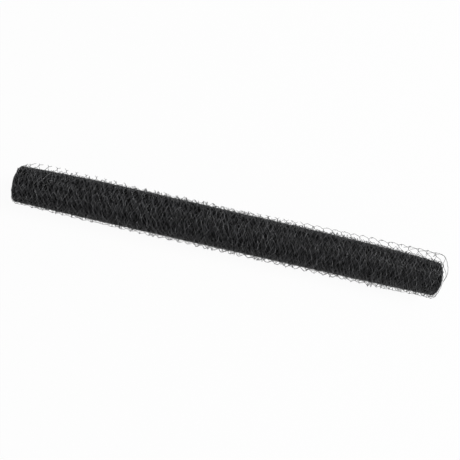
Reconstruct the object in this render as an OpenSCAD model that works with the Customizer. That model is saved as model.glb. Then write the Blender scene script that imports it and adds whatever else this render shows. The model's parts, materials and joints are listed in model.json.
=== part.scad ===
// Roll of hexagonal wire netting (chicken wire), lying on its side.
// The netting's width runs along X, its front is at -Y, and it rests at Z = 0.
// The origin is under the middle of the roll, on the surface that it lies on.

/* [Netting] */
// Width of the netting, which is the length of the roll
netting_width = 1219; // [300:1:1830]
// Diameter of the coated wire
wire_d = 1.1; // [0.7:0.05:1.6]

/* [Wound core] */
// Outside diameter of the tight turns in the middle of the roll
core_d = 115; // [80:1:200]
// Outside diameter at the ends, which are wound tighter
end_d = 104; // [70:1:190]
// Length over which each end tapers
taper_length = 190; // [20:1:400]
// Diameter of the open bore
bore_d = 40; // [20:1:60]
// Depth of the groove between two turns on the ends
turn_groove = 1.5; // [0.5:0.1:4]

/* [Loose last turn] */
// Distance between the lines of twists, which is the width of a cell
line_pitch = 27; // [12:1:110]
// Wires along the roll from the crease to the cut edge
row_count = 4; // [2:1:6]
// How far the sprung part stands off the core at the left end
loose_left = 15; // [4:0.5:60]
// How far the sprung part stands off the core in the middle
loose_middle = 5; // [4:0.5:60]
// How far the sprung part stands off the core at the right end
loose_right = 24; // [4:0.5:60]
// Angle from the floor, up the front and over the top, at which it leaves the core
loose_leave = 157; // [90:1:175]
// Angle from the floor to the crease behind the top
loose_crease = 184; // [176:1:210]
// Angle from the floor to the cut edge at the left end
cut_left = 240; // [212:1:310]
// Angle from the floor to the cut edge in the middle
cut_middle = 250; // [212:1:310]
// Angle from the floor to the cut edge at the right end
cut_right = 300; // [212:1:310]
// How far the last turn has slipped along the roll
loose_slip = 3; // [0:0.5:20]

/* [Hidden] */

// Share of a turn's thickness that the groove beside it takes on the ends
groove_share = 0.4;
// Angle behind the floor contact at which the last turn starts
loose_start = 32;
// Wires that tie each selvage down to the core in front
tie_count = 6;
// Steps of a bent line's sector, and its reach as a share of the line's radius
sector_steps = 6;
sector_reach_share = 1.5;
// How far a facet may cut into a round, as a share of the wire that seats there
facet_share = 0.02;
// Smoothness of the wires
wire_fn = 16;

core_r = core_d / 2;
end_r = end_d / 2;
bore_r = bore_d / 2;
end_x = netting_width / 2;

// The turns nest, so each adds about one wire to the radius
turn_count = max(1, round((end_r - bore_r) / wire_d));
turn_pitch = (end_r - bore_r) / turn_count;

// A twist is two wires thick
twist_d = 2 * wire_d;
twist_r = twist_d / 2;
// The roll lies on the middle of its core, and the sprung part reaches further back than the core does in front
core_z = core_r;
core_y = -(end_r + loose_right + twist_r - core_r) / 2;

line_count = max(2, round(netting_width / line_pitch)) + 1;
line_step = (netting_width - twist_d) / (line_count - 1);

wire_colour = [0.16, 0.16, 0.17];

// Facets of a round on which wires seat
function facets(radius) = ceil(180 / acos(1 - facet_share * wire_d / radius));

// Points of one wound end from the bore outwards, as [radius, place along the axis]
function turn_edge(inner_r) = [
    [inner_r, end_x - turn_groove],
    [inner_r + turn_pitch * groove_share / 2, end_x],
    [inner_r + turn_pitch * (1 - groove_share / 2), end_x]
];
function wound_end() = concat(
    [for (turn = [0 : turn_count - 1]) each turn_edge(bore_r + turn * turn_pitch)],
    [[end_r, end_x - turn_groove], [core_r, end_x - taper_length]]
);

// Half section of the core: one end outwards, then the other end back to the bore
function core_section() =
    let (near_end = wound_end(), last = len(near_end) - 1)
    concat(near_end, [for (i = [last : -1 : 0]) [near_end[i][0], -near_end[i][1]]]);

// The tight turns, as one turned solid with its bore and a ridge for each turn on its ends
module wound_core() {
    translate([-loose_slip / 2, core_y, core_z])
        rotate([0, 90, 0])
            rotate_extrude($fn = facets(core_r))
                polygon(core_section());
}

// A value along the roll from its values at the left end, the middle and the right end
function along_roll(left, middle, right, x) =
    let (share = x / end_x)
    middle + share * (right - left) / 2 + share * share * ((left + right) / 2 - middle);

// Where the last turn's lines of twists are, and how they lie there
function line_x(line) = twist_r - end_x + line * line_step;
function core_radius(x) =
    let (tapered_share = min(1, max(0, end_x - turn_groove - abs(x)) / (taper_length - turn_groove)))
    end_r + (core_r - end_r) * tapered_share;
function sprung_radius(x) = core_radius(x) + along_roll(loose_left, loose_middle, loose_right, x);
function cut_angle(x) = along_roll(cut_left, cut_middle, cut_right, x);
// The rows run from the crease to a twist inside the cut edge
function edge_angle(x) = cut_angle(x) - asin(twist_d / sprung_radius(x));
function row_angle(row, x) = loose_crease + (edge_angle(x) - loose_crease) * row / (row_count - 1);

// A point at a distance from the core's axis, by its angle from the floor up the front, as [back, up]
function point(angle, distance) = [-distance * sin(angle), -distance * cos(angle)];
function row_place(row, x) = [x, each point(row_angle(row, x), sprung_radius(x))];
function tie_angle(tie) = (loose_leave + loose_start) * (tie + 0.5) / tie_count - loose_start;
function tie_place(tie, x) = [x, each point(tie_angle(tie), core_radius(x))];

// A line of twists that is bent round the core's axis, as an outline
module bent_line(radius, from, to) {
    intersection() {
        difference() {
            circle(r = radius + twist_r, $fn = facets(radius));
            circle(r = radius - twist_r, $fn = facets(radius));
        }
        polygon([
            [0, 0],
            for (step = [0 : sector_steps])
                point(from + (to - from) * step / sector_steps, radius * sector_reach_share)
        ]);
    }
}

// A line of twists that runs straight between two points and half a twist on, as an outline
module straight_line(from, to) {
    ahead = (to - from) / norm(to - from) * twist_r;
    side = [-ahead.y, ahead.x];
    end = to + ahead;
    polygon([from + side, end + side, end - side, from - side]);
}

// One line of twists of the last turn: across to the crease, then clear of the core to the cut edge
module sprung_line(x) {
    straight_line(point(loose_leave, core_radius(x) - twist_d), point(loose_crease, sprung_radius(x)));
    bent_line(sprung_radius(x), loose_crease - asin(twist_r / sprung_radius(x)), cut_angle(x));
}

// A selvage of the last turn, which also follows the core from the floor up the front
module selvage_line(x) {
    bent_line(core_radius(x), -loose_start, loose_leave);
    sprung_line(x);
}

// Gives an outline across the roll the thickness of a twist
module across_roll(x) {
    translate([x - twist_r, 0, 0])
        rotate([90, 0, 90])
            linear_extrude(twist_d)
                children();
}

// A wire along the roll, from inside one line of twists to inside the next
module wire(from, to) {
    run = to - from;
    length = norm(run) - wire_d;
    translate(from + run / norm(run) * wire_d / 2)
        rotate([0, acos(run.z / norm(run)), atan2(run.y, run.x)])
            cylinder(h = length, d = wire_d, $fn = wire_fn);
}

// The last turn, which has sprung away from the core behind the top
module loose_turn() {
    last = line_count - 1;
    translate([loose_slip / 2, core_y, core_z]) {
        for (line = [1 : last - 1]) across_roll(line_x(line)) sprung_line(line_x(line));
        for (line = [0, last]) across_roll(line_x(line)) selvage_line(line_x(line));
        for (line = [0 : last - 1], row = [0 : row_count - 1])
            wire(row_place(row, line_x(line)), row_place(row, line_x(line + 1)));
        for (line = [0, last - 1], tie = [0 : tie_count - 1])
            wire(tie_place(tie, line_x(line)), tie_place(tie, line_x(line + 1)));
    }
}

// One length of netting: the tight turns and the sprung last turn are the same sheet
module netting_roll() {
    color(wire_colour)
        union() {
            wound_core();
            loose_turn();
        }
}

netting_roll();
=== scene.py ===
# Dresses the roll of chicken wire: each wire of its wound turns and of its sprung last turn.
import json
import math

import bpy
from bpy.props import FloatProperty, FloatVectorProperty, IntProperty, PointerProperty
from mathutils import Matrix, Vector


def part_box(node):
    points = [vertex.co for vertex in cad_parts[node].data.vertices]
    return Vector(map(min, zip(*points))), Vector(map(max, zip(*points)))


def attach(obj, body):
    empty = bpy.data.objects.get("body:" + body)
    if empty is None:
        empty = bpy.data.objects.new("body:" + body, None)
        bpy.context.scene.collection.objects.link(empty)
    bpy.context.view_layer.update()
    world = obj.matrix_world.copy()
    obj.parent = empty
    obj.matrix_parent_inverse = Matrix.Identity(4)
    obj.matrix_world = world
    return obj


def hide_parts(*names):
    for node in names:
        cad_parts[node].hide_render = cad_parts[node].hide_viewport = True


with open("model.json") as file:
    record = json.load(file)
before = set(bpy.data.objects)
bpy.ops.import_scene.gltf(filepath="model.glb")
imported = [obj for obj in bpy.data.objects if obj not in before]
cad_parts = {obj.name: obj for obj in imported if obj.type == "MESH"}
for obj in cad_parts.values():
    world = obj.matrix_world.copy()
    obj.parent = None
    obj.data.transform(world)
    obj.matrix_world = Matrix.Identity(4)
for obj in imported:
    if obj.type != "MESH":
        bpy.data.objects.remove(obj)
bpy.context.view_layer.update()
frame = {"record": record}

bl_info = {
    "name": "Roll of Chicken Wire",
    "version": (1, 0, 0),
    "blender": (4, 5, 0),
    "location": "3D View > Sidebar > Chicken Wire",
    "description": "Winds hexagonal wire netting into a roll with a sprung last turn",
    "category": "Object",
}

NODE = "netting_roll"
BODY = "root"

# What the frame says of the roll, in metres
BORE = next(mount for mount in frame["record"]["mounts"] if mount["name"] == "bore")
BORE_X, BORE_Y, BORE_Z = BORE["pos_m"]
BORE_RADIUS = BORE["dims"]["r_mm"] / 1000
ROLL_LOW, ROLL_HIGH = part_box(NODE)
# The roll lies on the middle of its core
CORE_RADIUS = BORE_Z
# How far the last turn has slipped along the roll: the origin is half-way between its middle and the core's
SLIP = -2 * BORE_X
NETTING_WIDTH = ROLL_HIGH[0] - ROLL_LOW[0] - SLIP

# How sharply the core narrows towards its ends, and how near the end the last turn is held
CORE_POWER = 4
HOLD_POWER = 24
# How often a turn stands out of the ends or in, to the radian
RAGGED_SCALE = 0.4
# Middle of what a noise gives
NOISE_MIDDLE = 0.5
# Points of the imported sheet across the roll, and along it in one turn
PACKED_ACROSS_POINTS = 9
PACKED_TURN_POINTS = 48
# Noise at which the coat begins to be dull and is all dull, for its colour and for its roughness
DULL_COLOUR = (0.42, 0.72)
DULL_SKIN = (0.35, 0.7)
# Ripples of the coat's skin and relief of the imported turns, with their heights in metres
SKIN_BUMP = {"Strength": 0.25, "Distance": 0.0001}
PACKED_BUMP = {"Strength": 1.0, "Distance": 0.001}
# Width of the camera's sensor in millimetres
SENSOR_WIDTH = 36.0


class NettingSize(bpy.types.PropertyGroup):
    """The flat netting: its wires, cells and twists"""

    width: FloatProperty(
        name="Width", description="From selvage to selvage", default=NETTING_WIDTH, unit="LENGTH"
    )
    wire: FloatProperty(
        name="Wire", description="Coated diameter", default=0.0011, unit="LENGTH", precision=4
    )
    cells: IntProperty(name="Cells", description="Cells from selvage to selvage", default=45, min=2)
    row_pitch: FloatProperty(
        name="Row pitch", description="From one row of twists to the next", default=0.033, unit="LENGTH"
    )
    twist: FloatProperty(name="Twist", description="Length of a twist", default=0.011, unit="LENGTH")
    turns: IntProperty(
        name="Turns", description="Times that two wires go round each other in a twist", default=2
    )
    lean: FloatProperty(
        name="Lean", description="How far the cells of the last turn are drawn sideways",
        default=0.06, unit="LENGTH",
    )
    lean_scale: FloatVectorProperty(
        name="Lean scale", description="Leans of the last turn to the metre across and along",
        default=(3.0, 6.0, 1.0),
    )
    stray: FloatProperty(
        name="Stray", description="How far the twists stray from an even pattern",
        default=0.007, unit="LENGTH",
    )
    stray_scale: FloatProperty(name="Stray scale", description="Strays to the metre", default=25.0)
    ruffle_scale: FloatProperty(name="Ruffle scale", description="Ruffles to the metre", default=80.0)


class CoreSize(bpy.types.PropertyGroup):
    """The turns of the core; three values are for its left end, its middle and its right end"""

    bore: FloatProperty(
        name="Bore", description="Radius of the bore", default=BORE_RADIUS, unit="LENGTH"
    )
    radius: FloatProperty(
        name="Radius", description="Outside radius", default=CORE_RADIUS, unit="LENGTH"
    )
    turn_pitch: FloatProperty(
        name="Turn pitch", description="What one inner turn adds to the radius",
        default=0.001, unit="LENGTH", precision=5,
    )
    tight_pitch: FloatProperty(
        name="Tight pitch", description="What one tight turn, drawn into the one below, adds to the radius",
        default=0.00013, unit="LENGTH", precision=5,
    )
    tight_turns: FloatProperty(
        name="Tight turns", description="Outer turns that are drawn tight", default=20.0
    )
    deep_share: FloatProperty(
        name="Deep share", description="Share of the tight turns that lies deepest",
        default=0.4, subtype="FACTOR",
    )
    under_share: FloatProperty(
        name="Under share", description="Share of the tight turns that lies next above",
        default=0.3, subtype="FACTOR",
    )
    outer_share: FloatProperty(
        name="Outer share", description="Share of the tight turns that lies just below the surface",
        default=0.18, subtype="FACTOR",
    )
    swell: FloatVectorProperty(
        name="Swell", description="What is added to the outside radius",
        default=(-0.0064, -0.0005, -0.0073), unit="LENGTH",
    )
    bow: FloatVectorProperty(
        name="Bow", description="How far back the core lies",
        default=(-0.0027, 0.0008, -0.0032), unit="LENGTH",
    )
    lean: FloatProperty(
        name="Lean", description="How far the cells of the core are drawn sideways",
        default=0.025, unit="LENGTH",
    )
    lean_scale: FloatVectorProperty(
        name="Lean scale", description="Leans of the core to the metre across and along",
        default=(25.0, 4.0, 1.0),
    )
    sway: FloatVectorProperty(
        name="Sway", description="How far a turn sways sideways",
        default=(0.012, 0.008, 0.0), unit="LENGTH",
    )
    sway_angle: FloatProperty(
        name="Sway angle", description="Angle from the floor at which a turn sways most steeply",
        default=math.radians(162), subtype="ANGLE",
    )
    ragged: FloatProperty(
        name="Ragged", description="How far a turn stands out of the ends or in",
        default=0.006, unit="LENGTH",
    )
    ruffle: FloatProperty(
        name="Ruffle", description="How unevenly a turn stands off the turn below",
        default=0.001, unit="LENGTH",
    )
    tuft: FloatProperty(
        name="Tuft", description="How unevenly the surface turns stand off the turn below",
        default=0.034, unit="LENGTH",
    )
    slack: FloatVectorProperty(
        name="Slack", description="How far the surface turns stand off at the front and the back",
        default=(-0.002, 0.0015, 0.0015), unit="LENGTH",
    )
    bore_turns: FloatProperty(
        name="Bore turns", description="Turns that show through the bore", default=2.0
    )
    end_wires: IntProperty(
        name="End wires", description="Wires that show at each end of the packed turns", default=3
    )
    packed_inset: FloatProperty(
        name="Packed inset", description="How far inside the ends the packed turns close up",
        default=0.006, unit="LENGTH",
    )
    packed_thickness: FloatProperty(
        name="Packed thickness", description="Thickness of a packed turn",
        default=0.0005, unit="LENGTH", precision=4,
    )


class LooseSize(bpy.types.PropertyGroup):
    """The sprung last turn; three values are for its left end, its middle and its right end"""

    rows: IntProperty(
        name="Rows", description="Rows of twists from the core to the free edge", default=12
    )
    start: FloatProperty(
        name="Start", description="Angle from the floor, up the front, at which it leaves the core",
        default=math.radians(-38.7), subtype="ANGLE",
    )
    mean_radius: FloatProperty(
        name="Mean radius", description="Radius that it lies at", default=0.0587, unit="LENGTH"
    )
    free_edge: FloatVectorProperty(
        name="Free edge", description="Angle from the floor at which it is cut",
        default=tuple(math.radians(angle) for angle in (246, 237, 285)), subtype="EULER",
    )
    lead: FloatProperty(
        name="Lead", description="Angle over which it leaves the core",
        default=math.radians(50), subtype="ANGLE",
    )
    stretch: FloatProperty(
        name="Stretch", description="Share by which its rows close up behind the top, where it lies wider",
        default=0.13,
    )
    skew: FloatVectorProperty(
        name="Skew", description="How steeply it is drawn sideways", default=(0.18, 0.15, 0.0)
    )
    skew_angle: FloatProperty(
        name="Skew angle", description="Angle from the floor at which it is not moved sideways",
        default=math.radians(162), subtype="ANGLE",
    )
    clearance: FloatProperty(
        name="Clearance", description="Least stand-off", default=0.002, unit="LENGTH"
    )
    ruffle: FloatProperty(
        name="Ruffle", description="How unevenly it stands off", default=0.006, unit="LENGTH"
    )
    front: FloatVectorProperty(
        name="Front", description="Further stand-off low at the front",
        default=(0.0012, 0.006, 0.006), unit="LENGTH",
    )
    front_angle: FloatProperty(
        name="Front angle", description="Angle from the floor to the middle of the front",
        default=math.radians(72), subtype="ANGLE",
    )
    back: FloatVectorProperty(
        name="Back", description="Further stand-off at the back",
        default=(0.016, 0.008, 0.0225), unit="LENGTH",
    )
    hold: FloatVectorProperty(
        name="Hold", description="How closely it is held to the core at the back", default=(1.0, 0.0, 0.0)
    )
    rise_start: FloatProperty(
        name="Rise start", description="Angle from the floor at which it leaves the top",
        default=math.radians(157), subtype="ANGLE",
    )
    rise_end: FloatProperty(
        name="Rise end", description="Angle from the floor of the crease behind the top",
        default=math.radians(184), subtype="ANGLE",
    )


class WireFinish(bpy.types.PropertyGroup):
    """The black plastic coat on the wire, and the painted light and shade that scale it for each stretch of
    turns
    """

    coat: FloatVectorProperty(
        name="Coat", description="Colour of the coat", default=(0.0185, 0.0192, 0.022), subtype="COLOR"
    )
    worn: FloatVectorProperty(
        name="Worn", description="Colour where the coat is dull",
        default=(0.037, 0.038, 0.042), subtype="COLOR",
    )
    gloss_roughness: FloatProperty(
        name="Gloss", description="Roughness of smooth coat", default=0.25
    )
    dull_roughness: FloatProperty(name="Dull", description="Roughness of dull coat", default=0.4)
    specular: FloatProperty(name="Specular", description="How much the coat reflects", default=0.8)
    # Painted light: the coat's colours and reflection are scaled above one on the surface and bore turns
    surface_painted_light: FloatProperty(
        name="Surface painted light", description="Painted light on the surface turns", default=1.6
    )
    # Painted shade: the coat's colours and reflection are scaled below one on turns under others, darker
    # the deeper they lie
    covered_painted_shade: FloatProperty(
        name="Covered painted shade", description="Painted shade on the turns just below the surface", default=0.72
    )
    under_painted_shade: FloatProperty(
        name="Under painted shade", description="Painted shade on the turns under those", default=0.28
    )
    deep_painted_shade: FloatProperty(
        name="Deep painted shade", description="Painted shade on the deepest tight turns", default=0.12
    )
    # Painted shade: the last turn's coat colours and reflection are scaled below one
    loose_painted_shade: FloatProperty(
        name="Loose painted shade", description="Painted shade on the sprung last turn", default=0.5
    )
    # Painted shade: the near-black colour of the sheet that stands for the packed turns
    shade: FloatVectorProperty(
        name="Shade", description="Painted shade deep among the turns",
        default=(0.008, 0.008, 0.008), subtype="COLOR",
    )
    mat_scale: FloatProperty(
        name="Mat", description="Gaps among the packed turns to the metre", default=150.0
    )
    patch_scale: FloatProperty(name="Patches", description="Dull patches to the metre", default=60.0)
    skin_scale: FloatProperty(name="Skin", description="Ripples of the skin to the metre", default=900.0)


class StageLook(bpy.types.PropertyGroup):
    """Camera, floor and light"""

    distance: FloatProperty(
        name="Distance", description="Camera to the roll", default=1.484, unit="LENGTH"
    )
    elevation: FloatProperty(
        name="Elevation", description="How steeply the camera looks down",
        default=math.radians(72), subtype="ANGLE",
    )
    swing: FloatProperty(
        name="Swing", description="How much further off the right end is",
        default=math.radians(3.79), subtype="ANGLE",
    )
    tilt: FloatProperty(
        name="Tilt", description="Slope of the roll in the picture",
        default=math.radians(12.84), subtype="ANGLE",
    )
    picture: FloatProperty(
        name="Picture", description="Side of the square picture in pixels", default=460.0
    )
    focal_pixels: FloatProperty(
        name="Focal length", description="Focal length in pixels", default=518.3
    )
    aim_pixel: FloatVectorProperty(
        name="Aim", description="Pixel at which the aimed point shows", default=(225.3, 230.0), size=2
    )
    aim_x: FloatProperty(
        name="Aim X", description="Aimed point of the roll's axis", default=-0.0223, unit="LENGTH"
    )
    floor_size: FloatProperty(
        name="Floor", description="Side of the floor", default=12.0, unit="LENGTH"
    )
    floor: FloatVectorProperty(
        name="Floor colour", description="Colour of the floor", default=(0.92, 0.92, 0.92), subtype="COLOR"
    )
    floor_glow: FloatProperty(
        name="Floor glow", description="Share of plain white in the floor that the camera sees",
        default=0.95, subtype="FACTOR",
    )
    ambient: FloatProperty(
        name="Ambient", description="Strength of the light from all round", default=0.3
    )
    lamp_place: FloatVectorProperty(
        name="Lamp place", description="Where the lamp hangs", default=(4.0, 1.0, 5.85), unit="LENGTH"
    )
    lamp_size: FloatProperty(
        name="Lamp size", description="Side of the square lamp", default=3.25, unit="LENGTH"
    )
    lamp_power: FloatProperty(
        name="Lamp power", description="Power of the lamp", default=312.0, unit="POWER"
    )


class Formula:
    """A number in a node tree, which ordinary arithmetic extends with Math nodes"""

    def __init__(self, tree, socket):
        self.tree = tree
        self.socket = socket

    def math(self, operation, *others):
        node = add_node(self.tree, "ShaderNodeMath", operation=operation)
        for slot, value in zip(node.inputs, (self, *others)):
            feed(self.tree, slot, value)
        return Formula(self.tree, node.outputs[0])

    def __add__(self, other):
        return self.math("ADD", other)

    def __mul__(self, other):
        return self.math("MULTIPLY", other)

    def __sub__(self, other):
        return self.math("SUBTRACT", other)

    def __rsub__(self, other):
        return self * -1 + other

    def __truediv__(self, other):
        return self.math("DIVIDE", other)

    def squared(self):
        return self * self

    def clamped(self):
        return self.math("MAXIMUM", 0.0).math("MINIMUM", 1.0)


def add_node(tree, kind, **settings):
    """A new node with some of its settings"""
    node = tree.nodes.new(kind)
    for name, value in settings.items():
        setattr(node, name, value)
    return node


def feed(tree, slot, value):
    """Links a socket or a Formula to a slot, or sets the slot to a plain value"""
    if isinstance(value, Formula):
        value = value.socket
    if isinstance(value, bpy.types.NodeSocket):
        tree.links.new(value, slot)
    else:
        slot.default_value = value


def run_node(tree, kind, given, output=0, **settings):
    """Adds a node, feeds its named slots and returns one of its outputs"""
    node = add_node(tree, kind, **settings)
    for name, value in given.items():
        feed(tree, node.inputs[name], value)
    return node.outputs[output]


def vector_of(tree, x, y, z):
    """A vector from three numbers"""
    return run_node(tree, "ShaderNodeCombineXYZ", {"X": x, "Y": y, "Z": z})


def numbers_of(tree, vector):
    """The three numbers of a vector"""
    node = add_node(tree, "ShaderNodeSeparateXYZ")
    feed(tree, node.inputs[0], vector)
    return [Formula(tree, socket) for socket in node.outputs]


SOCKETS = {int: "NodeSocketInt", float: "NodeSocketFloat", tuple: "NodeSocketVector"}


def new_tree(name, values):
    """A geometry node tree with a named input for each value; gives the tree and its inputs by name"""
    tree = bpy.data.node_groups.new(name, "GeometryNodeTree")
    tree.interface.new_socket("Geometry", in_out="OUTPUT", socket_type="NodeSocketGeometry")
    for label, value in values.items():
        tree.interface.new_socket(label, in_out="INPUT", socket_type=SOCKETS[type(value)])
    entry = add_node(tree, "NodeGroupInput")
    given = {label: Formula(tree, entry.outputs[label]) for label in values}
    return tree, given


def all_wires(netting):
    """More wires than the netting has from either selvage, so that all are made"""
    return 2 * netting.cells + 2


def netting_values(netting, ruffle, first_row, rows, kept, twist_points, diagonal_points, sides):
    """Inputs that every stretch of the netting has"""
    return {
        "First row": first_row,
        "Rows": rows,
        "Kept wires": kept,
        "Twist points": twist_points,
        "Diagonal points": diagonal_points,
        "Sides": sides,
        "Wires": 2 * netting.cells,
        "Width": netting.width,
        "Wire radius": netting.wire / 2,
        "Row pitch": netting.row_pitch,
        "Twist": netting.twist,
        "Twist turns": netting.turns,
        "Lean": netting.lean,
        "Lean scale": tuple(netting.lean_scale),
        "Stray": netting.stray,
        "Stray scale": netting.stray_scale,
        "Ruffle": ruffle,
        "Ruffle scale": netting.ruffle_scale,
    }


def lay_wires_flat(tree, given):
    """Curves of all wires of a stretch, flat: X across the netting, Y along it, Z out of it.

    A wire lies between two columns of twists. It is twisted with its left and its right neighbour in turn.
    The first and last wires are the selvages. Kept wires is how many are made at each selvage.
    """
    row_points = given["Twist points"] + given["Diagonal points"]
    line = run_node(tree, "GeometryNodeCurvePrimitiveLine", {"Start": (0, 0, 0), "End": (0, 1, 0)})
    points = given["Rows"] * row_points + 1
    wire = run_node(tree, "GeometryNodeResampleCurve", {"Curve": line, "Count": points}, mode="COUNT")
    places = run_node(
        tree, "GeometryNodeMeshLine",
        {"Count": given["Wires"] + 2, "Start Location": (-1, 0, 0), "Offset": (1, 0, 0)},
    )
    number = numbers_of(tree, run_node(tree, "GeometryNodeInputPosition", {}))[0].math("ROUND")
    from_edge = (number + 1).math("MINIMUM", given["Wires"] - number)
    hidden = from_edge.math("GREATER_THAN", given["Kept wires"] - 0.5)
    places = run_node(tree, "GeometryNodeDeleteGeometry", {"Geometry": places, "Selection": hidden})
    wires = run_node(tree, "GeometryNodeInstanceOnPoints", {"Points": places, "Instance": wire})
    wires = run_node(tree, "GeometryNodeRealizeInstances", {"Geometry": wires})

    # Which row a point is on, and how far it is through the row
    index = Formula(tree, run_node(tree, "GeometryNodeSplineParameter", {}, output="Index"))
    row = (index / row_points).math("FLOOR")
    step = index - row * row_points
    row = row + given["First row"]
    arm_points = given["Diagonal points"] / 2
    coming = (step / arm_points).clamped()
    twisting = ((step - arm_points) / given["Twist points"]).clamped()
    going = ((step - arm_points - given["Twist points"]) / arm_points).clamped()
    joined = coming * (1 - going)

    # The column that the row's twist is on, and the side of it that the wire is on
    odd_row = row.math("FLOORED_MODULO", 2.0)
    odd_wire = number.math("FLOORED_MODULO", 2.0)
    column = number + (1 - odd_wire - odd_row).math("ABSOLUTE")
    middle = number + 0.5
    side = (middle - column).math("SIGN")
    turn = twisting * given["Twist turns"] * math.tau
    radius = joined * side * given["Wire radius"]

    column_step = given["Width"] / given["Wires"]
    half_width = given["Width"] / 2
    across = (middle + (column - middle) * joined) * column_step - half_width
    across = across.math("MAXIMUM", half_width * -1).math("MINIMUM", half_width)
    arm = (given["Row pitch"] - given["Twist"]) / 2
    along = row * given["Row pitch"] + (coming + going) * arm + twisting * given["Twist"]
    flat = vector_of(tree, across + radius * turn.math("COSINE"), along, radius * turn.math("SINE"))
    return run_node(tree, "GeometryNodeSetPosition", {"Geometry": wires, "Position": flat})


def strayed(tree, wires, given):
    """Moves the wires off their even pattern, but less and less sideways towards the selvages"""
    place = run_node(tree, "GeometryNodeInputPosition", {})
    held = (numbers_of(tree, place)[0] / given["Width"] * 2).squared().squared()
    drawn = run_node(tree, "ShaderNodeVectorMath", {0: place, 1: given["Lean scale"]}, operation="MULTIPLY")
    lean = run_node(tree, "ShaderNodeTexNoise", {"Vector": drawn, "Scale": 1.0, "Detail": 1.0})
    lean = Formula(tree, lean) - NOISE_MIDDLE
    stray = {"Scale": given["Stray scale"], "Detail": 1.0}
    stray = run_node(tree, "ShaderNodeTexNoise", stray, output="Color")
    sideways, onwards, _ = (share - NOISE_MIDDLE for share in numbers_of(tree, stray))
    ruffle = run_node(tree, "ShaderNodeTexNoise", {"Scale": given["Ruffle scale"], "Detail": 0.0})
    offset = vector_of(
        tree,
        (sideways * given["Stray"] + lean * given["Lean"]) * (1 - held),
        onwards * given["Stray"],
        (Formula(tree, ruffle) - NOISE_MIDDLE) * given["Ruffle"],
    )
    return run_node(tree, "GeometryNodeSetPosition", {"Geometry": wires, "Offset": offset})


def along_roll(tree, values, share, power=2):
    """A value at a place along the roll, from its values at the left end, the middle and the right end.

    A higher power keeps it nearer to the middle's value, except close to the ends.
    """
    left, middle, right = numbers_of(tree, values)
    from_middle = share.math("ABSOLUTE")
    uneven = from_middle.math("POWER", power - 1.0) * share.math("SIGN") * (right - left) / 2
    even = from_middle.math("POWER", float(power)) * ((left + right) / 2 - middle)
    return middle + uneven + even


def core_surface(tree, given, across):
    """Outside radius of the core at a place along the roll, which is thicker in the middle"""
    return given["Core radius"] + along_roll(tree, given["Swell"], across / given["Width"] * 2, CORE_POWER)


def wrap_round(tree, wires, given, across, angle, radius):
    """Puts the wires round the core's axis, and none below the floor.

    The angle is from the floor, up the front.
    """
    height = given["Axis height"] - radius * angle.math("COSINE")
    bow = along_roll(tree, given["Bow"], across / given["Width"] * 2, CORE_POWER)
    place = vector_of(
        tree,
        across + given["Shift"],
        given["Axis back"] + bow - radius * angle.math("SINE"),
        height.math("MAXIMUM", given["Wire radius"]),
    )
    return run_node(tree, "GeometryNodeSetPosition", {"Geometry": wires, "Position": place})


def finish_tree(tree, wires, given, material):
    """Gives the wires their thickness and ends the tree"""
    profile = {"Resolution": given["Sides"], "Radius": given["Wire radius"]}
    profile = run_node(tree, "GeometryNodeCurvePrimitiveCircle", profile)
    solid = {"Curve": wires, "Profile Curve": profile, "Fill Caps": True}
    coat_tree(tree, run_node(tree, "GeometryNodeCurveToMesh", solid), material)


def coat_tree(tree, solid, material):
    """Ends a tree with a plain coated mesh"""
    solid = run_node(tree, "GeometryNodeSetShadeSmooth", {"Geometry": solid})
    solid = run_node(tree, "GeometryNodeRealizeInstances", {"Geometry": solid})
    solid = run_node(tree, "GeometryNodeSetMaterial", {"Geometry": solid, "Material": material})
    feed(tree, add_node(tree, "NodeGroupOutput").inputs[0], solid)


def beside_front(angle, given):
    """Share of a stand-off at an angle: all of it low at the front and, across from there, at the back"""
    return (angle - given["Front angle"]).math("COSINE").squared().squared()


def wind(tree, netting, given):
    """Winds flat netting into a spiral"""
    across, along, lift = numbers_of(tree, run_node(tree, "GeometryNodeInputPosition", {}))
    first = given["First radius"]
    pitch = given["Turn pitch"]
    length = along - given["Winding start"]
    turned = ((first.squared() + length * pitch / math.pi).math("SQRT") - first) / pitch * math.tau
    radius = first + pitch * turned / math.tau
    bore = given["Bore"]
    swollen = core_surface(tree, given, across) - bore
    radius = bore + (radius - bore) * swollen / (given["Core radius"] - bore)
    angle = turned + given["First angle"]
    ragged = {"W": angle, "Scale": RAGGED_SCALE, "Detail": 0.0}
    ragged = run_node(tree, "ShaderNodeTexNoise", ragged, noise_dimensions="1D")
    share = across / given["Width"] * 2
    sway = along_roll(tree, given["Sway"], share) * (1 - share.squared().squared())
    across = across - (angle - given["Sway angle"]).math("SINE") * sway
    across = across + (Formula(tree, ragged) - NOISE_MIDDLE) * given["Ragged"]
    slack = beside_front(angle, given) * along_roll(tree, given["Slack"], share)
    return wrap_round(tree, netting, given, across, angle, radius + lift + slack)


def wound_tree(values, material):
    """Tree of a stretch of wires in the tight turns"""
    tree, given = new_tree("Wound turns", values)
    wires = strayed(tree, lay_wires_flat(tree, given), given)
    finish_tree(tree, wind(tree, wires, given), given, material)
    return tree


def packed_tree(values, material):
    """Tree of the turns too deep for a single wire to show: one thin sheet, wound as the wires are, that
    carries their painted shade
    """
    tree, given = new_tree("Packed turns", values)
    length = given["End length"] - given["Start length"]
    size = vector_of(tree, given["Packed width"], length, given["Thickness"])
    points = {"Vertices X": given["Across points"], "Vertices Y": given["Along points"], "Vertices Z": 2}
    sheet = run_node(tree, "GeometryNodeMeshCube", {"Size": size} | points)
    middle = vector_of(tree, 0.0, (given["Start length"] + given["End length"]) / 2, 0.0)
    sheet = run_node(tree, "GeometryNodeSetPosition", {"Geometry": sheet, "Offset": middle})
    coat_tree(tree, wind(tree, sheet, given), material)
    return tree


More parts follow.
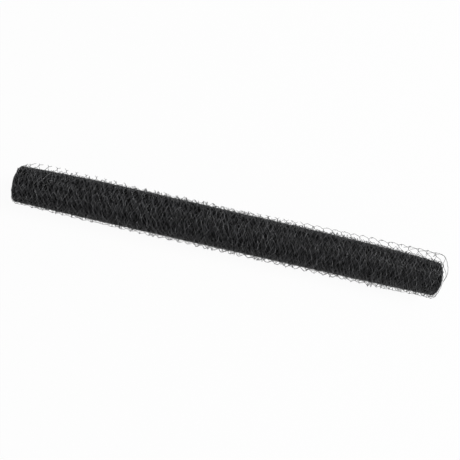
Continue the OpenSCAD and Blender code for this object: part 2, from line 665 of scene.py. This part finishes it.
def loose_tree(values, material):
    """Tree of the last turn, which stands off the core from the floor to a free edge at the back"""
    tree, given = new_tree("Loose turn", values)
    wires = strayed(tree, lay_wires_flat(tree, given), given)
    across, along, lift = numbers_of(tree, run_node(tree, "GeometryNodeInputPosition", {}))
    angle = given["Start"] + (along - given["First row"] * given["Row pitch"]) / given["Mean radius"]
    angle = angle - (angle - given["Rise start"]).math("MAXIMUM", 0.0) * given["Stretch"]
    share = across / given["Width"] * 2
    skew = along_roll(tree, given["Skew"], share) * (1 - share.squared().squared())
    across = across - (angle - given["Skew angle"]) * given["Mean radius"] * skew
    past_edge = angle.math("GREATER_THAN", along_roll(tree, given["Free edge"], share))
    before_top = angle.math("LESS_THAN", given["Rise start"])
    at_front = beside_front(angle, given) * before_top
    at_back = ((angle - given["Rise start"]) / (given["Rise end"] - given["Rise start"])).clamped()
    leaving = ((angle - given["Start"]) / given["Lead"]).clamped()
    radius = core_surface(tree, given, across) + leaving * (given["Clearance"] + lift)
    radius = radius + at_front * along_roll(tree, given["Front"], share)
    at_back = at_back * (1 - along_roll(tree, given["Hold"], share, HOLD_POWER))
    radius = radius + at_back * along_roll(tree, given["Back"], share)
    wires = run_node(tree, "GeometryNodeDeleteGeometry", {"Geometry": wires, "Selection": past_edge})
    finish_tree(tree, wrap_round(tree, wires, given, across, angle, radius), given, material)
    return tree


def make_piece(name, tree, values):
    """Runs a tree with its input values on an empty mesh and keeps the result as a piece of the roll"""
    seed = bpy.data.objects.new(name + "_seed", bpy.data.meshes.new(name + "_seed"))
    bpy.context.collection.objects.link(seed)
    modifier = seed.modifiers.new(tree.name, "NODES")
    modifier.node_group = tree
    for item in tree.interface.items_tree:
        if item.in_out == "INPUT":
            modifier[item.identifier] = values[item.name]
    graph = bpy.context.evaluated_depsgraph_get()
    mesh = bpy.data.meshes.new_from_object(seed.evaluated_get(graph), depsgraph=graph)
    bpy.data.objects.remove(seed)
    mesh.name = name
    if not mesh.polygons:
        raise RuntimeError(f"{name} came out empty")
    piece = bpy.data.objects.new(name, mesh)
    bpy.context.collection.objects.link(piece)
    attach(piece, BODY)
    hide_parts(NODE)


def new_coat(name):
    """A new material, with its node tree, its shader and the place of a point on the roll"""
    material = bpy.data.materials.new(name)
    material.use_nodes = True
    tree = material.node_tree
    place = add_node(tree, "ShaderNodeTexCoord").outputs["Object"]
    return material, tree, tree.nodes["Principled BSDF"], place


def coated_wire(name, light):
    """Black plastic coat: satin, with dull patches and a faintly rippled skin.

    Light scales the coat's colours and its reflection: painted light on the surface and bore turns, painted
    shade on turns that lie under others and on the last turn.
    """
    finish = bpy.context.scene.wire_finish
    material, tree, shader, place = new_coat(name)
    patches = {"Vector": place, "Scale": finish.patch_scale, "Detail": 4.0}
    patches = run_node(tree, "ShaderNodeTexNoise", patches)
    colour = add_node(tree, "ShaderNodeValToRGB")
    stops = zip(colour.color_ramp.elements, DULL_COLOUR, (finish.coat, finish.worn))
    for stop, position, paint in stops:
        stop.position = position
        # Painted light and shade: both colours of the coat are scaled by light
        stop.color = (*(light * part for part in paint), 1)
    feed(tree, colour.inputs["Fac"], patches)
    feed(tree, shader.inputs["Base Color"], colour.outputs["Color"])
    dulling = {
        "Value": patches,
        "From Min": DULL_SKIN[0],
        "From Max": DULL_SKIN[1],
        "To Min": finish.gloss_roughness,
        "To Max": finish.dull_roughness,
    }
    feed(tree, shader.inputs["Roughness"], run_node(tree, "ShaderNodeMapRange", dulling))
    # Painted highlight and shade: the reflection is scaled by the same light
    shader.inputs["Specular IOR Level"].default_value = finish.specular * light
    ripples = {"Vector": place, "Scale": finish.skin_scale, "Detail": 2.0}
    ripples = run_node(tree, "ShaderNodeTexNoise", ripples)
    skin = run_node(tree, "ShaderNodeBump", {"Height": ripples} | SKIN_BUMP)
    feed(tree, shader.inputs["Normal"], skin)
    return material


def packed_painted_shade():
    """Packed turns: a sheet painted with the shade of a mat of black wires, near black with black gaps,
    which lets almost no light back out
    """
    finish = bpy.context.scene.wire_finish
    material, tree, shader, place = new_coat("Packed wire")
    mat = run_node(tree, "ShaderNodeTexNoise", {"Vector": place, "Scale": finish.mat_scale, "Detail": 3.0})
    colour = add_node(tree, "ShaderNodeValToRGB")
    gap, wire = colour.color_ramp.elements
    # Painted shade: the gaps are black and the rest has the shade colour
    gap.color = (0, 0, 0, 1)
    wire.color = (*finish.shade, 1)
    feed(tree, colour.inputs["Fac"], mat)
    feed(tree, shader.inputs["Base Color"], colour.outputs["Color"])
    shader.inputs["Roughness"].default_value = 1.0
    shader.inputs["Specular IOR Level"].default_value = 0.0
    relief = run_node(tree, "ShaderNodeBump", {"Height": mat} | PACKED_BUMP)
    feed(tree, shader.inputs["Normal"], relief)
    return material


def core_values(core):
    """Inputs that place a stretch on or round the core"""
    return {
        "Core radius": core.radius,
        "Swell": tuple(core.swell),
        "Bow": tuple(core.bow),
        "Axis back": BORE_Y,
        "Axis height": BORE_Z,
    }


def spiral_angle(first_radius, pitch, length):
    """Angle that a length of netting fills when it is wound from a radius"""
    return (math.sqrt(first_radius**2 + pitch * length / math.pi) - first_radius) / pitch * math.tau


def spiral_length(first_radius, last_radius, pitch):
    """Length of netting in a spiral from one radius to another"""
    return math.pi * (last_radius**2 - first_radius**2) / pitch


def core_radii(netting, core):
    """Radii at the bore, where the tight turns start and at the outside, all in the middle of the wires"""
    outside = core.radius - netting.wire / 2
    return core.bore + netting.wire, outside - core.tight_turns * core.tight_pitch, outside


def core_rows(netting, core):
    """Rows of twists in the inner turns and in the tight ones"""
    bore, tight, outside = core_radii(netting, core)
    inner_rows = int(spiral_length(bore, tight, core.turn_pitch) / netting.row_pitch)
    return inner_rows, int(spiral_length(tight, outside, core.tight_pitch) / netting.row_pitch)


def core_windings(netting, core, loose):
    """Inputs that wind a stretch into the inner turns, and those that wind it into the tight ones.

    The tight turns end where the last turn starts.
    """
    bore, tight, _ = core_radii(netting, core)
    inner_rows, tight_rows = core_rows(netting, core)
    tight_angle = loose.start - spiral_angle(tight, core.tight_pitch, tight_rows * netting.row_pitch)
    inner_angle = tight_angle - spiral_angle(bore, core.turn_pitch, inner_rows * netting.row_pitch)
    shared = core_values(core) | {
        "Width": netting.width,
        "Wire radius": netting.wire / 2,
        "Bore": core.bore,
        "Lean": core.lean,
        "Lean scale": tuple(core.lean_scale),
        "Ragged": core.ragged,
        "Sway": tuple(core.sway),
        "Sway angle": core.sway_angle,
        "Slack": (0.0, 0.0, 0.0),
        "Front angle": loose.front_angle,
        "Shift": BORE_X,
    }
    inner = {
        "First radius": bore,
        "Turn pitch": core.turn_pitch,
        "First angle": inner_angle,
        "Winding start": 0.0,
    }
    outer = {
        "First radius": tight,
        "Turn pitch": core.tight_pitch,
        "First angle": tight_angle,
        "Winding start": inner_rows * netting.row_pitch,
    }
    return shared | inner, shared | outer


class WindCore(bpy.types.Operator):
    """Winds the wires of the core, from the bore to the surface"""

    bl_idname = "chicken_wire.wind_core"
    bl_label = "Wind Core"

    def execute(self, context):
        netting = context.scene.netting_size
        core = context.scene.core_size
        finish = context.scene.wire_finish
        inner, outer = core_windings(netting, core, context.scene.loose_size)
        inner_rows, tight_rows = core_rows(netting, core)
        bore = inner["First radius"]
        bore_length = spiral_length(bore, bore + core.bore_turns * core.turn_pitch, core.turn_pitch)
        bore_rows = round(bore_length / netting.row_pitch)
        deep_rows = round(tight_rows * core.deep_share)
        under_rows = round(tight_rows * core.under_share)
        outer_rows = round(tight_rows * core.outer_share)
        surface_rows = tight_rows - deep_rows - under_rows - outer_rows
        # Lit and shaded copies of the one coat: painted light on the surface and bore turns, painted shade
        # on the turns below them
        outside = coated_wire("Black coated wire", finish.surface_painted_light)
        covered = coated_wire("Coated wire below the surface", finish.covered_painted_shade)
        under = coated_wire("Coated wire under others", finish.under_painted_shade)
        deep = coated_wire("Coated wire deep down", finish.deep_painted_shade)
        slack = outer | {"Slack": tuple(core.slack)}
        every = all_wires(netting)
        # Stretches from the bore outwards: winding, coat, ruffle and rows,
        # wires made at each selvage, points in a twist, points in a diagonal and sides of a wire
        stretches = {
            "bore_turns": (inner, outside, core.ruffle, bore_rows, every, 2, 4, 4),
            "end_turns": (inner, covered, core.ruffle, inner_rows - bore_rows, core.end_wires, 2, 2, 4),
            "deep_turns": (outer, deep, core.ruffle, deep_rows, every, 2, 2, 3),
            "under_turns": (outer, under, core.ruffle, under_rows, every, 2, 2, 3),
            "outer_turns": (outer, covered, core.ruffle, outer_rows, every, 4, 2, 4),
            "surface_turns": (slack, outside, core.tuft, surface_rows, every, 4, 2, 4),
        }
        first_row = 0
        for name, (winding, coat, ruffle, rows, *details) in stretches.items():
            values = netting_values(netting, ruffle, first_row, rows, *details) | winding
            make_piece(name, wound_tree(values, coat), values)
            first_row += rows
        return {"FINISHED"}


class PackInnerTurns(bpy.types.Operator):
    """Closes the core with the turns between those that show in the bore and those that show outside"""

    bl_idname = "chicken_wire.pack_inner_turns"
    bl_label = "Pack Inner Turns"

    def execute(self, context):
        netting = context.scene.netting_size
        core = context.scene.core_size
        values, _ = core_windings(netting, core, context.scene.loose_size)
        bore, tight, _ = core_radii(netting, core)
        start = bore + core.bore_turns * core.turn_pitch
        values |= {
            "Start length": spiral_length(bore, start, core.turn_pitch),
            "End length": spiral_length(bore, tight, core.turn_pitch),
            "Packed width": netting.width - 2 * core.packed_inset,
            "Thickness": core.packed_thickness,
            "Across points": PACKED_ACROSS_POINTS,
            "Along points": int(PACKED_TURN_POINTS * (tight - start) / core.turn_pitch),
        }
        make_piece("packed_turns", packed_tree(values, packed_painted_shade()), values)
        return {"FINISHED"}


class WrapLooseTurn(bpy.types.Operator):
    """Wraps the sprung last turn round the core"""

    bl_idname = "chicken_wire.wrap_loose_turn"
    bl_label = "Wrap Loose Turn"

    def execute(self, context):
        netting = context.scene.netting_size
        core = context.scene.core_size
        loose = context.scene.loose_size
        values = netting_values(
            netting, loose.ruffle, sum(core_rows(netting, core)), loose.rows,
            kept=all_wires(netting), twist_points=8, diagonal_points=4, sides=6,
        )
        values |= core_values(core) | {
            "Start": loose.start,
            "Free edge": tuple(loose.free_edge),
            "Lead": loose.lead,
            "Mean radius": loose.mean_radius,
            "Stretch": loose.stretch,
            "Skew": tuple(loose.skew),
            "Skew angle": loose.skew_angle,
            "Clearance": loose.clearance,
            "Front": tuple(loose.front),
            "Front angle": loose.front_angle,
            "Back": tuple(loose.back),
            "Hold": tuple(loose.hold),
            "Rise start": loose.rise_start,
            "Rise end": loose.rise_end,
            "Shift": BORE_X + SLIP,
        }
        # Painted shade: the last turn's coat is a darker copy of the wire's coat
        coat = coated_wire("Coated wire of the last turn", context.scene.wire_finish.loose_painted_shade)
        make_piece("loose_turn", loose_tree(values, coat), values)
        return {"FINISHED"}


def seen_directly(tree):
    """One for a ray from the camera or a reflection, and zero for a ray that gathers light"""
    path = add_node(tree, "ShaderNodeLightPath")
    camera = Formula(tree, path.outputs["Is Camera Ray"])
    glossy = Formula(tree, path.outputs["Is Glossy Ray"])
    through = Formula(tree, path.outputs["Is Transmission Ray"])
    return camera.math("MAXIMUM", glossy).math("MAXIMUM", through)


def floor_material(look):
    """Pale floor that the camera sees as nearly white, and that keeps the roll's shadow"""
    material = bpy.data.materials.new("Pale floor")
    material.use_nodes = True
    tree = material.node_tree
    tree.nodes.clear()
    paint = run_node(tree, "ShaderNodeBsdfDiffuse", {"Color": (*look.floor, 1)})
    glow = run_node(tree, "ShaderNodeEmission", {"Color": (1, 1, 1, 1), "Strength": 1.0})
    both = run_node(
        tree, "ShaderNodeMixShader", {0: seen_directly(tree) * look.floor_glow, 1: paint, 2: glow}
    )
    feed(tree, add_node(tree, "ShaderNodeOutputMaterial").inputs["Surface"], both)
    return material


def add_floor(look):
    """The floor that the roll lies on"""
    half = look.floor_size / 2
    corners = [(-half, -half, 0), (half, -half, 0), (half, half, 0), (-half, half, 0)]
    mesh = bpy.data.meshes.new("floor")
    mesh.from_pydata(corners, [], [(0, 1, 2, 3)])
    mesh.materials.append(floor_material(look))
    floor = bpy.data.objects.new("floor", mesh)
    bpy.context.collection.objects.link(floor)


def add_world(look):
    """Even light from all round, white where the camera or a reflection sees it"""
    world = bpy.data.worlds.new("Studio")
    world.use_nodes = True
    tree = world.node_tree
    background = tree.nodes["Background"]
    background.inputs["Color"].default_value = (1, 1, 1, 1)
    strength = seen_directly(tree) * (1 - look.ambient) + look.ambient
    feed(tree, background.inputs["Strength"], strength)
    bpy.context.scene.world = world


def add_lamp(look):
    """A square soft lamp that faces the roll"""
    lamp = bpy.data.lights.new("overhead", "AREA")
    lamp.size = look.lamp_size
    lamp.energy = look.lamp_power
    holder = bpy.data.objects.new("overhead", lamp)
    holder.location = look.lamp_place
    facing = Vector((0, 0, BORE_Z)) - Vector(look.lamp_place)
    holder.rotation_euler = facing.to_track_quat("-Z", "Y").to_euler()
    bpy.context.collection.objects.link(holder)


def add_camera(look):
    """Camera in which the roll slopes down to the right, with its right end further off"""
    camera = bpy.data.cameras.new("camera")
    camera.sensor_width = SENSOR_WIDTH
    camera.lens = camera.sensor_width * look.focal_pixels / look.picture
    turned = Matrix.Rotation(math.pi / 2 - look.elevation, 3, "X")
    turned = turned @ Matrix.Rotation(-look.swing, 3, "Y") @ Matrix.Rotation(look.tilt, 3, "Z")
    beside = (look.aim_pixel[0] - look.picture / 2) / look.focal_pixels
    above = (look.picture / 2 - look.aim_pixel[1]) / look.focal_pixels
    aim = Vector((look.aim_x, BORE_Y, BORE_Z))
    place = aim - turned @ Vector((beside, above, -1)) * look.distance
    holder = bpy.data.objects.new("camera", camera)
    holder.matrix_world = Matrix.Translation(place) @ turned.to_4x4()
    bpy.context.collection.objects.link(holder)
    bpy.context.scene.camera = holder


class SetStage(bpy.types.Operator):
    """Sets the floor, the light and the camera"""

    bl_idname = "chicken_wire.set_stage"
    bl_label = "Set Stage"

    def execute(self, context):
        look = context.scene.stage_look
        add_floor(look)
        add_world(look)
        add_lamp(look)
        add_camera(look)
        context.scene.view_settings.view_transform = "Standard"
        return {"FINISHED"}


class ChickenWirePanel(bpy.types.Panel):
    """Lists the steps that make the roll"""

    bl_idname = "VIEW3D_PT_chicken_wire"
    bl_label = "Chicken Wire"
    bl_space_type = "VIEW_3D"
    bl_region_type = "UI"
    bl_category = "Chicken Wire"

    def draw(self, context):
        for step in STEPS:
            self.layout.operator(step.bl_idname)
        for name in GROUPS:
            box = self.layout.box()
            group = getattr(context.scene, name)
            for label in group.__annotations__:
                box.prop(group, label)


GROUPS = {
    "netting_size": NettingSize,
    "core_size": CoreSize,
    "loose_size": LooseSize,
    "wire_finish": WireFinish,
    "stage_look": StageLook,
}
STEPS = (SetStage, WindCore, PackInnerTurns, WrapLooseTurn)


def register():
    for kind in (*GROUPS.values(), *STEPS, ChickenWirePanel):
        bpy.utils.register_class(kind)
    for name, kind in GROUPS.items():
        setattr(bpy.types.Scene, name, PointerProperty(type=kind))


def unregister():
    for name in GROUPS:
        delattr(bpy.types.Scene, name)
    for kind in (ChickenWirePanel, *reversed(STEPS), *reversed(GROUPS.values())):
        bpy.utils.unregister_class(kind)


def main():
    register()
    bpy.ops.chicken_wire.set_stage()
    bpy.ops.chicken_wire.wind_core()
    bpy.ops.chicken_wire.pack_inner_turns()
    bpy.ops.chicken_wire.wrap_loose_turn()


if __name__ == "__main__":
    main()
